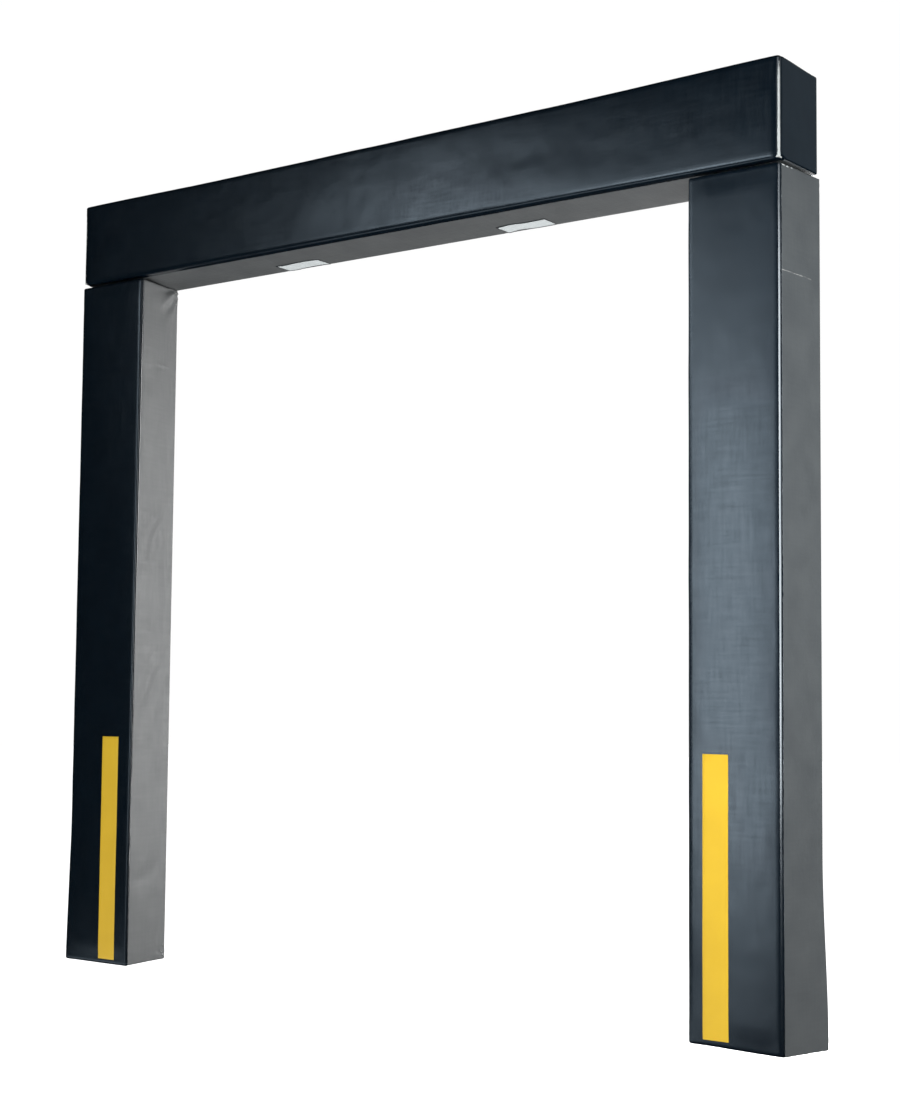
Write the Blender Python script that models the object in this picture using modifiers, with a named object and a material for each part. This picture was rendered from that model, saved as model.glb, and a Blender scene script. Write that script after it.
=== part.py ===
"""Compression dock seal: two foam side pads and a foam head pad that stand round a loading-dock opening.

Frame: X to the right for someone who faces the wall, Y into the wall, Z up, all in metres. The origin is on the
wall plane, midway between the side pads and level with their lower ends. Each pad is a ladder of treated timber
against the wall, two slabs of foam glued to it, and a stapled and sewn cover. A backing truck pushes the three
wear faces towards the wall, so each wear face, its front slab and its guide stripe slide along +Y.
"""

import bmesh
import bpy
from mathutils import Matrix, Vector

# Overall sizes
SPAN = 3.048  # outside width of the seal, and the head pad's length
SIDE_HEIGHT = 2.591  # a side pad's length
FACE_WIDTH = 0.305  # a side pad's width at its wear face
BACK_WIDTH = 0.279  # its width at the wall, because its inner side slopes
HEAD_HEIGHT = 0.305
HEAD_GAP = 0.0127  # between the side pads' upper ends and the head pad

# Layers, from the wall outwards
COVER = 0.0013  # coated fabric
FIT = 0.0003  # left between pieces that touch
TIMBER = 0.038
FOAM = 0.200  # both slabs together
SQUEEZE = 0.100  # how far a wear face can be pushed in
SQUEEZE_SPARE = 0.001  # left between the front slab and the timber when it is

# Timber ladders
STILE_WIDTH = 0.089
RUNG_WIDTH = 0.089
SIDE_RUNGS = 5
HEAD_RUNGS = 6
TIMBER_EDGE = 0.003  # eased edges of planed timber

# Covers
FACE_RADIUS = 0.011  # soft edge round a wear face
ROUND_STEPS = 4
WRAP = 0.035  # how far a wear face returns round all four edges
FLANGE = 0.032  # turned in behind the timber and stapled
BACK_RADIUS = 0.003  # where a cover turns in behind the timber
CAP_FIT = 0.001  # left between an end cap and the side covers, whose folds meet at the back corners

# Guide stripes on the side pads
STRIPE_WIDTH = 0.086
STRIPE_LENGTH = 0.831
STRIPE_FROM_INNER_EDGE = 0.045
STRIPE_FROM_END = 0.017
STRIPE_THICKNESS = 0.0008

# Vent patches under the head pad
VENT_LENGTH = 0.200
VENT_WIDTH = 0.072
VENT_THICKNESS = 0.0008
VENT_SPACING = 1.010
VENT_OFFSET = -0.035  # of the pair's middle from the middle of the pad
VENT_FROM_WALL = 0.013

DEPTH = COVER + FIT + TIMBER + FIT + FOAM + FIT + COVER
LINING = COVER + FIT  # from a cover's outer side to what it covers
TIMBER_BACK = -LINING
TIMBER_FRONT = TIMBER_BACK - TIMBER
FOAM_BACK = TIMBER_FRONT - FIT
BACK_SLAB_FRONT = FOAM_BACK - SQUEEZE - SQUEEZE_SPARE
FRONT_SLAB_BACK = BACK_SLAB_FRONT - FIT
FOAM_FRONT = -DEPTH + LINING

# Where a pad's own directions lie in its points
ACROSS = 0
ALONG = 2


def clear_scene():
    for obj in list(bpy.data.objects):
        bpy.data.objects.remove(obj)


def material(name, colour, roughness, metallic=0.0):
    made = bpy.data.materials.new(name)
    made.use_nodes = True
    shader = made.node_tree.nodes["Principled BSDF"]
    shader.inputs["Base Color"].default_value = (*colour, 1.0)
    shader.inputs["Roughness"].default_value = roughness
    shader.inputs["Metallic"].default_value = metallic
    return made


def make_materials():
    return {
        "wear_fabric": material("wear_fabric", (0.018, 0.030, 0.042), 0.35),
        "side_fabric": material("side_fabric", (0.090, 0.092, 0.092), 0.60),
        "timber": material("timber", (0.420, 0.360, 0.200), 0.80),
        "foam": material("foam", (0.560, 0.570, 0.560), 0.90),
        "stripe": material("stripe", (0.850, 0.540, 0.030), 0.40),
        "vent": material("vent", (0.800, 0.810, 0.820), 0.70),
    }


class Pad:
    """One pad. Across is from its outer side (its top, on the head pad) to the side that faces the opening.

    Shapes are made as (across, y, along) and turned into the frame of the pad's empty by basis.
    """

    def __init__(self, name, length, face_width, back_width, basis, place, collection):
        self.name = name
        self.length = length
        self.face_width = face_width
        self.back_width = back_width
        self.basis = basis
        self.collection = collection
        self.root = self.empty(f"{name}_pad", place, None)
        face_middle = basis @ Vector((face_width / 2, -DEPTH, length / 2))
        self.face = self.empty(f"{name}_face_slide", face_middle, self.root)

    def empty(self, name, place, parent):
        made = bpy.data.objects.new(name, None)
        made.parent = parent
        made.location = place
        self.collection.objects.link(made)
        return made

    def width_at(self, y):
        """The pad's width over its cover, which changes evenly from the face to the wall."""
        return self.face_width + (self.back_width - self.face_width) * (y + DEPTH) / DEPTH

    def lean(self, bm):
        """Moves the points on the inner half so that this side slopes."""
        for vert in bm.verts:
            if vert.co.x > self.face_width / 2:
                vert.co.x += self.width_at(vert.co.y) - self.face_width

    def add(self, name, bm, skin, moves=False, leans=True):
        """Turns a finished shape into an object under the pad's empty, or under its sliding face."""
        if leans:
            self.lean(bm)
        middle = Vector((self.face_width / 2, -DEPTH, self.length / 2)) if moves else Vector()
        bmesh.ops.translate(bm, vec=-middle, verts=bm.verts)
        bmesh.ops.transform(bm, matrix=self.basis.to_4x4(), verts=bm.verts)
        if self.basis.determinant() < 0:
            bmesh.ops.reverse_faces(bm, faces=bm.faces)
        mesh = bpy.data.meshes.new(f"{self.name}_{name}")
        bm.to_mesh(mesh)
        bm.free()
        mesh.materials.append(skin)
        obj = bpy.data.objects.new(f"{self.name}_{name}", mesh)
        obj.parent = self.face if moves else self.root
        self.collection.objects.link(obj)
        return obj


def block(across, depth, along):
    """A box as a bmesh, from the lower and upper limit in each direction."""
    bm = bmesh.new()
    bmesh.ops.create_cube(bm, size=1.0)
    limits = (across, depth, along)
    size = Vector([high - low for low, high in limits])
    middle = Vector([(high + low) / 2 for low, high in limits])
    bmesh.ops.scale(bm, vec=size, verts=bm.verts)
    bmesh.ops.translate(bm, vec=middle, verts=bm.verts)
    return bm


def keep_faces(bm, directions):
    """Leaves only the faces that look along one of the directions, as an open surface."""
    bm.normal_update()
    gone = [f for f in bm.faces if max(f.normal.dot(Vector(d)) for d in directions) < 0.9]
    bmesh.ops.delete(bm, geom=gone, context="FACES")
    return bm


def round_front(bm, radius):
    """Rounds the four edges of the front, and leaves the ones that run towards the wall sharp."""
    front = min(v.co.y for v in bm.verts)
    edges = [e for e in bm.edges if all(v.co.y < front + FIT for v in e.verts)]
    bmesh.ops.bevel(
        bm, geom=edges, offset=radius, segments=ROUND_STEPS, profile=0.5, affect="EDGES"
    )
    return bm


def bevelled(obj, width, segments):
    bevel = obj.modifiers.new("soft_edges", "BEVEL")
    bevel.width = width
    bevel.segments = segments
    bevel.limit_method = "ANGLE"
    obj.data.shade_smooth()
    obj.data.set_sharp_from_angle(angle=0.6)
    return obj


def as_sheet(obj, thickness):
    solid = obj.modifiers.new("fabric_thickness", "SOLIDIFY")
    solid.thickness = thickness
    solid.offset = -1.0
    solid.use_even_offset = True
    return obj


def make_ladder(pad, count, stile_names, rung_name, skin):
    """Two long timbers and the short ones between them, as wide as the cover is where it is narrowest."""
    depth = (TIMBER_FRONT, TIMBER_BACK)
    ends = (LINING, pad.length - LINING)
    inner = min(pad.width_at(TIMBER_FRONT), pad.width_at(0.0)) - LINING
    near, far = LINING + STILE_WIDTH, inner - STILE_WIDTH
    timbers = {
        stile_names[0]: ((LINING, near), ends),
        stile_names[1]: ((far, inner), ends),
    }
    pitch = (ends[1] - ends[0] - RUNG_WIDTH) / (count - 1)
    for index in range(count):
        start = ends[0] + index * pitch
        timbers[f"{rung_name}_{index + 1}"] = ((near + FIT, far - FIT), (start, start + RUNG_WIDTH))
    for name, (across, along) in timbers.items():
        timber = pad.add(name, block(across, depth, along), skin, leans=False)
        bevelled(timber, TIMBER_EDGE, 2)


def make_foam(pad, skin):
    """The slab glued to the timber, and the slab behind the wear face, whose front edges are rounded."""
    across = (LINING, pad.face_width - LINING)
    ends = (LINING, pad.length - LINING)
    pad.add("back_foam", block(across, (BACK_SLAB_FRONT, FOAM_BACK), ends), skin)
    front = round_front(block(across, (FOAM_FRONT, FRONT_SLAB_BACK), ends), FACE_RADIUS - COVER)
    pad.add("front_foam", front, skin, moves=True)


def make_wear_face(pad, skin):
    """A shallow tray of fabric over the front, open towards the wall, with returns on all four sides."""
    bm = block((0.0, pad.face_width), (-DEPTH, -DEPTH + WRAP), (0.0, pad.length))
    keep_faces(bm, [(0, -1, 0), (1, 0, 0), (-1, 0, 0), (0, 0, 1), (0, 0, -1)])
    round_front(bm, FACE_RADIUS)
    as_sheet(pad.add("wear_face", bm, skin, moves=True), COVER)


def mitre(bm, axis, edge, middle):
    """Draws in the ends of a flange's free edge, so that flanges meet on a diagonal at each corner."""
    along = 2 - axis
    for vert in bm.verts:
        if abs(vert.co[axis] - edge) < FIT:
            vert.co[along] += FLANGE if vert.co[along] < middle else -FLANGE
    return bm


def make_side_covers(pad, names, skin):
    """The panels along both long sides, each turned in behind the timber."""
    depth = (-DEPTH + WRAP + FIT, 0.0)
    ends = (0.0, pad.length)
    edge = pad.face_width - FLANGE
    outer = keep_faces(block((0.0, FLANGE), depth, ends), [(-1, 0, 0), (0, 1, 0)])
    inner = keep_faces(block((edge, pad.face_width), depth, ends), [(1, 0, 0), (0, 1, 0)])
    mitre(outer, ACROSS, FLANGE, pad.length / 2)
    mitre(inner, ACROSS, edge, pad.length / 2)
    for name, bm in zip(names, (outer, inner)):
        as_sheet(bevelled(pad.add(name, bm, skin), BACK_RADIUS, 2), COVER)


def make_end_caps(pad, names, skin):
    """The panels that close both ends, between the side covers and turned in behind the timber."""
    across = (COVER + CAP_FIT, pad.face_width - COVER - CAP_FIT)
    depth = (-DEPTH + WRAP + FIT, 0.0)
    edge = pad.length - FLANGE
    near = keep_faces(block(across, depth, (0.0, FLANGE)), [(0, 0, -1), (0, 1, 0)])
    far = keep_faces(block(across, depth, (edge, pad.length)), [(0, 0, 1), (0, 1, 0)])
    mitre(near, ALONG, FLANGE, pad.face_width / 2)
    mitre(far, ALONG, edge, pad.face_width / 2)
    for name, bm in zip(names, (near, far)):
        as_sheet(bevelled(pad.add(name, bm, skin), BACK_RADIUS, 2), COVER)


def make_guide_stripe(pad, skin):
    inner = pad.face_width - STRIPE_FROM_INNER_EDGE
    depth = (-DEPTH - FIT - STRIPE_THICKNESS, -DEPTH - FIT)
    along = (STRIPE_FROM_END, STRIPE_FROM_END + STRIPE_LENGTH)
    pad.add("guide_stripe", block((inner - STRIPE_WIDTH, inner), depth, along), skin, moves=True)


def make_vents(pad, skin):
    """Two patches of open mesh on the underside, which let the air out as the foam is squeezed."""
    under = (pad.face_width + FIT, pad.face_width + FIT + VENT_THICKNESS)
    depth = (-VENT_FROM_WALL - VENT_WIDTH, -VENT_FROM_WALL)
    for name, side in (("left_vent", -1), ("right_vent", 1)):
        middle = pad.length / 2 + VENT_OFFSET + side * VENT_SPACING / 2
        along = (middle - VENT_LENGTH / 2, middle + VENT_LENGTH / 2)
        pad.add(name, block(under, depth, along), skin)


def make_side_pad(name, side, skins, collection):
    """side is -1 for the left pad and 1 for the right one, whose across runs the other way."""
    basis = Matrix(((-side, 0, 0), (0, 1, 0), (0, 0, 1)))
    place = Vector((side * SPAN / 2, 0, 0))
    pad = Pad(name, SIDE_HEIGHT, FACE_WIDTH, BACK_WIDTH, basis, place, collection)
    make_ladder(pad, SIDE_RUNGS, ("outer_stile", "inner_stile"), "rung", skins["timber"])
    make_foam(pad, skins["foam"])
    make_wear_face(pad, skins["wear_fabric"])
    make_side_covers(pad, ("outer_cover", "inner_cover"), skins["side_fabric"])
    make_end_caps(pad, ("bottom_cap", "top_cap"), skins["side_fabric"])
    make_guide_stripe(pad, skins["stripe"])


def make_head_pad(skins, collection):
    basis = Matrix(((0, 0, 1), (0, 1, 0), (-1, 0, 0)))
    place = Vector((-SPAN / 2, 0, SIDE_HEIGHT + HEAD_GAP + HEAD_HEIGHT))
    pad = Pad("head", SPAN, HEAD_HEIGHT, HEAD_HEIGHT, basis, place, collection)
    make_ladder(pad, HEAD_RUNGS, ("top_rail", "bottom_rail"), "stud", skins["timber"])
    make_foam(pad, skins["foam"])
    make_wear_face(pad, skins["wear_fabric"])
    make_side_covers(pad, ("top_cover", "underside_cover"), skins["side_fabric"])
    make_end_caps(pad, ("left_end", "right_end"), skins["wear_fabric"])
    make_vents(pad, skins["vent"])


def main():
    clear_scene()
    collection = bpy.data.collections.new("dock_seal")
    bpy.context.scene.collection.children.link(collection)
    skins = make_materials()
    make_side_pad("left", -1, skins, collection)
    make_side_pad("right", 1, skins, collection)
    make_head_pad(skins, collection)


main()
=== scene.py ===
# %% [markdown]
# # A foam dock seal
# Three fabric-covered foam pads stand round a loading opening: one on each side and one across the top. A
# truck backs against them and the foam closes the gap. The CAD model brings the timber, the places and
# the motion. This script makes what is seen: coated fabric sewn and stapled over foam, yellow guide
# stripes, vent patches.

# %% Load the frame
import math

import bmesh
import bpy
import numpy as np
from mathutils import Matrix, Vector, noise
from mathutils.bvhtree import BVHTree


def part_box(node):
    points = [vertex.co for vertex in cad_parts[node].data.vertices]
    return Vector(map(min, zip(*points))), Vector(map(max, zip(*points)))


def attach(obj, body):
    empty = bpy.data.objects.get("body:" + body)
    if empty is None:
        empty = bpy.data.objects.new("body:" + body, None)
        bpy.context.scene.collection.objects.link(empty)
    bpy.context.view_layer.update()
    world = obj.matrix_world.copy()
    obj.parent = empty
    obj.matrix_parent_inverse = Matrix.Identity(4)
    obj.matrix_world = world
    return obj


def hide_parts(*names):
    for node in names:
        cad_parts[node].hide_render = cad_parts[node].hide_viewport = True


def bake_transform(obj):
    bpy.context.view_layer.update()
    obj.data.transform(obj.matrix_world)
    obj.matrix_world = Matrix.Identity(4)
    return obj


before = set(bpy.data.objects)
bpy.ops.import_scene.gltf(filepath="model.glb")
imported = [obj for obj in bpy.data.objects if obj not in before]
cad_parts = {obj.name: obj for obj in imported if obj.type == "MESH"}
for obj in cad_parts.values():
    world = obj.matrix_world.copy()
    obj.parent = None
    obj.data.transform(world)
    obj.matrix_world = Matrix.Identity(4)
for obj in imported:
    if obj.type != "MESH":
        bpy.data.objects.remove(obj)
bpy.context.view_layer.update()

# %% [markdown]
# ## Where things are
# Each pad has its own directions: across it (from its outer side to the opening), into the wall, and
# along it. Working in these directions lets one function make all three pads, though the head pad lies on
# its side.

# %% Pad directions
LINING = 0.0016  # from a cover's outer side to the timber or foam in it


class Pad:
    """A pad's size, and the way from its own directions (across, y, along) to the room's."""

    def __init__(self, name, across, along, inner_timber, sides, ends, edges):
        self.name, self.body = name, f"{name}_face"
        self.front_edge, self.outer_edge, self.inner_edge, self.end_edge = edges
        self.across, self.along = Vector(across), Vector(along)
        self.sides, self.ends = sides, ends
        low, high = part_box(f"{name}_wear_face")
        heading = self.across + self.along
        self.origin = Vector([h if d < 0 else l for l, h, d in zip(low, high, heading)])
        self.origin.y = 0.0
        self.width = abs(self.across.dot(high - low))
        self.length = abs(self.along.dot(high - low))
        self.depth = -low.y
        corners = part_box(f"{name}_{inner_timber}")
        self.back_width = max(self.across.dot(c - self.origin) for c in corners) + LINING
        self.timber_front = min(c.y for c in corners)
        self.basis = np.array([self.across, (0, 1, 0), self.along])

    def to_room(self, points):
        """Points in the pad's own directions, as room coordinates."""
        return np.asarray(points) @ self.basis + np.array(self.origin)


SIDE_EDGES = (0.010, 0.010, 0.0065, 0.006)  # radii: front, outer side, inner side, ends
HEAD_EDGES = (0.012, 0.008, 0.014, 0.010)
SIDES, CAPS = ("outer_cover", "inner_cover"), ("bottom_cap", "top_cap")
HEAD_SIDES, HEAD_ENDS = ("top_cover", "underside_cover"), ("left_end", "right_end")
PADS = [
    Pad("left", (1, 0, 0), (0, 0, 1), "inner_stile", SIDES, CAPS, SIDE_EDGES),
    Pad("right", (-1, 0, 0), (0, 0, 1), "inner_stile", SIDES, CAPS, SIDE_EDGES),
    Pad("head", (0, 0, -1), (1, 0, 0), "bottom_rail", HEAD_SIDES, HEAD_ENDS, HEAD_EDGES),
]
for pad in PADS:
    print(f"{pad.name}: {pad.width:.3f} wide, {pad.back_width:.3f} at the wall, {pad.length:.3f} long")

# %% [markdown]
# ## Fabric finishes
# Dock seal fabric is a woven polyester scrim coated with vinyl. The coating follows the threads, so the
# surface has a fine grid, and wear and folding leave it slightly uneven in gloss. Each sheet carries its
# flat cut as a UV map in metres, so a weave drawn in those coordinates keeps its real scale whichever way
# the sheet is folded. An image of fabric could be tiled over it instead, but nodes have no repeats and
# stay sharp up close. A few helpers that add nodes keep each material down to the lines that say what is
# special about it.


# %% Material helpers
def new_material(name, colour, roughness, specular=0.5):
    """A Principled material, with the nodes that later helpers add to."""
    made = bpy.data.materials.new(name)
    made.use_nodes = True
    shader = made.node_tree.nodes["Principled BSDF"]
    shader.inputs["Base Color"].default_value = (*colour, 1.0)
    shader.inputs["Roughness"].default_value = roughness
    shader.inputs["Specular IOR Level"].default_value = specular
    return made, made.node_tree, shader


def add_node(tree, kind, links=(), **settings):
    """Adds a node, sets its named inputs, and links what is given as (input, output socket)."""
    node = tree.nodes.new(kind)
    for key, value in settings.items():
        if hasattr(node, key):
            setattr(node, key, value)
        else:
            node.inputs[key.replace("_", " ")].default_value = value
    for target, source in links:
        tree.links.new(source, node.inputs[target])
    return node


def coordinates(tree, stretch, cut=True):
    """Coordinates in metres, from the flat cut or from the piece itself, scaled by stretch."""
    source = tree.nodes.new("ShaderNodeTexCoord").outputs["UV" if cut else "Object"]
    mapping = add_node(tree, "ShaderNodeMapping", [("Vector", source)])
    mapping.inputs["Scale"].default_value = stretch
    return mapping.outputs["Vector"]


def noise_node(tree, stretch, scale, detail=3.0, cut=True):
    """Soft random values from 0 to 1, in metres along the cut or the piece."""
    node = add_node(tree, "ShaderNodeTexNoise", [("Vector", coordinates(tree, stretch, cut))])
    node.inputs["Scale"].default_value = scale
    node.inputs["Detail"].default_value = detail
    return node.outputs["Fac"]


def spread(tree, value, low, high, from_low=0.3, from_high=0.7):
    """Maps a 0 to 1 texture value onto a range."""
    node = add_node(tree, "ShaderNodeMapRange", [("Value", value)])
    for key, number in (("From Min", from_low), ("From Max", from_high), ("To Min", low), ("To Max", high)):
        node.inputs[key].default_value = number
    return node.outputs["Result"]


def mixed_colour(tree, factor, first, second):
    """Between two colours, each given as three numbers or as an output socket."""
    node = add_node(tree, "ShaderNodeMix", data_type="RGBA")
    for socket, colour in ((node.inputs[6], first), (node.inputs[7], second)):
        if isinstance(colour, tuple):
            socket.default_value = (*colour, 1.0)
        else:
            tree.links.new(colour, socket)
    tree.links.new(factor, node.inputs[0])
    return node.outputs[2]


def math_node(tree, operation, *values):
    """A Math node. Each value is a number or an output socket."""
    node = add_node(tree, "ShaderNodeMath", operation=operation)
    for socket, value in zip(node.inputs, values):
        if isinstance(value, (int, float)):
            socket.default_value = value
        else:
            tree.links.new(value, socket)
    return node.outputs[0]


def bump(tree, height, distance, strength=1.0, before=None):
    """Height in metres as bump. before is the normal of a coarser bump under it."""
    node = add_node(tree, "ShaderNodeBump", [("Height", height)])
    node.inputs["Distance"].default_value = distance
    node.inputs["Strength"].default_value = strength
    if before is not None:
        tree.links.new(before, node.inputs["Normal"])
    return node.outputs["Normal"]


print("material helpers ready")

# %% [markdown]
# The scrim under the coating is two crossed sets of threads. Real threads could be modelled, but at two
# millimetres apart there would be millions of faces. Two wave textures at right angles, of which the
# higher one counts at each spot, give the same grid. The coating over it gets slow clouds of wear and a
# fine grain.


# %% Coated fabric
def weave(tree, pitch):
    """The height of two crossed sets of threads, pitch apart."""
    waves = []
    for direction in ("X", "Y"):
        wave = add_node(tree, "ShaderNodeTexWave", [("Vector", coordinates(tree, (1, 1, 1)))])
        wave.bands_direction = direction
        wave.inputs["Scale"].default_value = math.pi / 10 / pitch  # at scale 1 the bands are pi / 10 apart
        wave.inputs["Distortion"].default_value = 0.25
        wave.inputs["Detail Scale"].default_value = 0.2 / pitch
        waves.append(wave.outputs["Fac"])
    return math_node(tree, "MAXIMUM", *waves)


def coated_fabric(name, colour, worn_colour, gloss, pitch, depth, specular=0.5):
    """Coated woven fabric: gloss is its (low, high) roughness, pitch and depth are the threads'."""
    made, tree, shader = new_material(name, colour, sum(gloss) / 2, specular)
    clouds = noise_node(tree, (1, 1, 1), 9.0, 4.0)
    warp, weft = noise_node(tree, (110, 9, 1), 1.0, 2.0), noise_node(tree, (9, 110, 1), 1.0, 2.0)
    threads = math_node(tree, "ADD", warp, weft)
    tint = mixed_colour(tree, spread(tree, clouds, 0.0, 1.0), colour, worn_colour)
    tree.links.new(tint, shader.inputs["Base Color"])
    tree.links.new(spread(tree, threads, *gloss, 0.7, 1.3), shader.inputs["Roughness"])
    grain = bump(tree, noise_node(tree, (1, 1, 1), 420.0, 2.0), 0.00005, 0.3)
    ripple = bump(tree, threads, 0.00010, 0.25, grain)
    tree.links.new(bump(tree, weave(tree, pitch), depth, 0.5, ripple), shader.inputs["Normal"])
    return made


# %% [markdown]
# The wear faces use the heavier, glossier blue-black fabric. The sides are a lighter grey with a duller
# coating. The guide stripes are yellow coated fabric. Each colour is a pair, new and worn.

# %% Fabric materials
BLUE_BLACK = ((0.0005, 0.0028, 0.0056), (0.0009, 0.0040, 0.0075))
GREY = ((0.062, 0.065, 0.066), (0.074, 0.077, 0.077))
YELLOW = ((0.62, 0.365, 0.004), (0.66, 0.395, 0.006))
GLOSSY, DULL, SATIN = (0.20, 0.27), (0.46, 0.56), (0.42, 0.50)  # lowest and highest roughness
HEAVY_THREADS = 0.0026  # pitch of the threads in the heavy fabric
LIGHT_THREADS = 0.0022  # and in the light one
WEAR = coated_fabric("wear_vinyl", *BLUE_BLACK, GLOSSY, HEAVY_THREADS, 0.00004, 1.0)
SIDE = coated_fabric("side_vinyl", *GREY, DULL, LIGHT_THREADS, 0.00010)
# side fabric whose fold line carries a painted highlight
SIDE_PAINTED_CREASE = coated_fabric("side_vinyl_painted_crease", *GREY, DULL, LIGHT_THREADS, 0.00010)
STRIPE = coated_fabric("stripe_vinyl", *YELLOW, SATIN, LIGHT_THREADS, 0.00006)
print("fabrics:", WEAR.name, SIDE.name, SIDE_PAINTED_CREASE.name, STRIPE.name)

# %% [markdown]
# One fold crosses the right pad's outer side, and its crease catches the light as a pale line. That
# line is a painted highlight, only a change of colour, so it is made in the material: a thin band at
# one height on the cut, broken up with noise, that stops before the timber.


# %% Fold line: painted highlight
CREASE_DROP = 0.320  # of the mark below a side pad's top
CREASE_END = -0.058  # y where it stops
CREASE_HALF = 0.0013  # half its width
# colour of the painted highlight along the fold's crease
PAINTED_CREASE_HIGHLIGHT = (0.26, 0.25, 0.235)


def add_painted_crease_highlight(made, height):
    """A painted highlight: a pale broken line across the cut along the fold's crease."""
    tree = made.node_tree
    shader = tree.nodes["Principled BSDF"]
    tint = shader.inputs["Base Color"].links[0].from_socket
    place = add_node(tree, "ShaderNodeSeparateXYZ", [("Vector", coordinates(tree, (1, 1, 1)))])
    wobble = spread(tree, noise_node(tree, (1, 1, 1), 30.0, 2.0), -0.0012, 0.0012)
    shifted = math_node(tree, "ADD", place.outputs["Y"], wobble)
    near = math_node(tree, "COMPARE", shifted, height, CREASE_HALF)
    line_gaps = spread(tree, noise_node(tree, (9, 1, 1), 9.0, 3.0), 0.15, 1.0, 0.4, 0.6)
    broken = math_node(tree, "MULTIPLY", near, line_gaps)
    spot = add_node(tree, "ShaderNodeSeparateXYZ", [("Vector", coordinates(tree, (1, 1, 1), cut=False))])
    reach = math_node(tree, "LESS_THAN", spot.outputs["Y"], CREASE_END)
    # the painted highlight, kept off the part over the timber
    painted_highlight = math_node(tree, "MULTIPLY", broken, reach)
    tree.links.new(mixed_colour(tree, painted_highlight, tint, PAINTED_CREASE_HIGHLIGHT), shader.inputs["Base Color"])


add_painted_crease_highlight(SIDE_PAINTED_CREASE, PADS[1].length - CREASE_DROP)
print(f"fold mark {PADS[1].length - CREASE_DROP:.3f} m above the foot")

# %% [markdown]
# The vents are an open white mesh, which is a coarser weave. Thread, cord and staples are so small that
# one colour with a fine unevenness is enough.


# %% Vent mesh, thread, cord and wire
def vent_mesh():
    """White mesh whose gaps look grey from a distance."""
    made, tree, shader = new_material("vent_mesh", (0.78, 0.80, 0.80), 0.75, 0.3)
    threads = weave(tree, 0.0052)
    open_share = spread(tree, threads, 0.0, 1.0, 0.2, 0.9)
    tint = mixed_colour(tree, open_share, (0.24, 0.255, 0.255), (0.43, 0.45, 0.45))
    tree.links.new(tint, shader.inputs["Base Color"])
    tree.links.new(bump(tree, threads, 0.0004), shader.inputs["Normal"])
    return made


def plain(name, colour, roughness, metallic=0.0):
    """Thread, cord and wire, with a fine unevenness."""
    made, tree, shader = new_material(name, colour, roughness)
    shader.inputs["Metallic"].default_value = metallic
    uneven = noise_node(tree, (1, 1, 1), 900.0, 2.0, cut=False)
    tree.links.new(spread(tree, uneven, roughness - 0.08, roughness + 0.08), shader.inputs["Roughness"])
    tree.links.new(bump(tree, uneven, 0.0001, 0.5), shader.inputs["Normal"])
    return made


VENT = vent_mesh()
THREAD = plain("bonded_thread", (0.012, 0.014, 0.016), 0.55)
CORD = plain("pale_cord", (0.52, 0.52, 0.50), 0.7)
STAPLE = plain("staple_wire", (0.62, 0.62, 0.60), 0.32, 1.0)
print("small materials:", VENT.name, THREAD.name, CORD.name, STAPLE.name)

# %% [markdown]
# Foam is cut from a block with a saw, which leaves open cells and faint saw lines. A fine cell texture
# reads as foam from near, and slow clouds of colour from far. The timber's rings are cut along the board,
# so they show as long streaks. The CAD timbers are shown as they are: they are plain sawn boards, and
# only need this finish.


# %% Foam and timber materials
def foam_material():
    """Open cells, with saw lines under them."""
    made, tree, shader = new_material("cut_foam", (0.56, 0.57, 0.55), 0.92, 0.2)
    cells = add_node(tree, "ShaderNodeTexVoronoi", [("Vector", coordinates(tree, (1, 1, 1), False))])
    cells.inputs["Scale"].default_value = 380.0
    clouds = noise_node(tree, (1, 1, 1), 12.0, 5.0, cut=False)
    tint = mixed_colour(tree, spread(tree, clouds, 0.0, 1.0), (0.34, 0.34, 0.32), (0.44, 0.44, 0.42))
    tree.links.new(tint, shader.inputs["Base Color"])
    saw = bump(tree, noise_node(tree, (3, 3, 160), 1.0, 2.0, cut=False), 0.0008, 0.4)
    tree.links.new(bump(tree, cells.outputs["Distance"], 0.0012, 0.8, saw), shader.inputs["Normal"])
    return made


def timber_material(name, stretch):
    """Pressure-treated softwood. stretch sets which way its streaks run."""
    made, tree, shader = new_material(name, (0.42, 0.36, 0.20), 0.75, 0.3)
    along = coordinates(tree, stretch, False)
    bend = add_node(tree, "ShaderNodeTexNoise", [("Vector", along)], Scale=3.0, Detail=3.0)
    rings = add_node(tree, "ShaderNodeTexWave", [("Vector", along)], Scale=9.0, Distortion=5.0, Detail=3.0)
    rings.inputs["Detail Scale"].default_value = 1.4
    fibres = add_node(tree, "ShaderNodeTexNoise", [("Vector", along)], Scale=160.0, Detail=4.0)
    late_wood = spread(tree, rings.outputs["Fac"], 0.0, 1.0, 0.2, 0.9)
    grown = mixed_colour(tree, late_wood, (0.20, 0.165, 0.085), (0.31, 0.255, 0.145))
    patches = spread(tree, bend.outputs["Fac"], 0.0, 1.0)
    treatment = mixed_colour(tree, patches, (0.62, 0.68, 0.55), (1, 1, 1))
    stained = add_node(tree, "ShaderNodeMix", data_type="RGBA", blend_type="MULTIPLY")
    stained.inputs[0].default_value = 0.5
    tree.links.new(grown, stained.inputs[6])
    tree.links.new(treatment, stained.inputs[7])
    tree.links.new(stained.outputs[2], shader.inputs["Base Color"])
    rough = bump(tree, fibres.outputs["Fac"], 0.0005, 0.6)
    tree.links.new(bump(tree, rings.outputs["Fac"], 0.0006, 0.4, rough), shader.inputs["Normal"])
    return made


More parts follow.
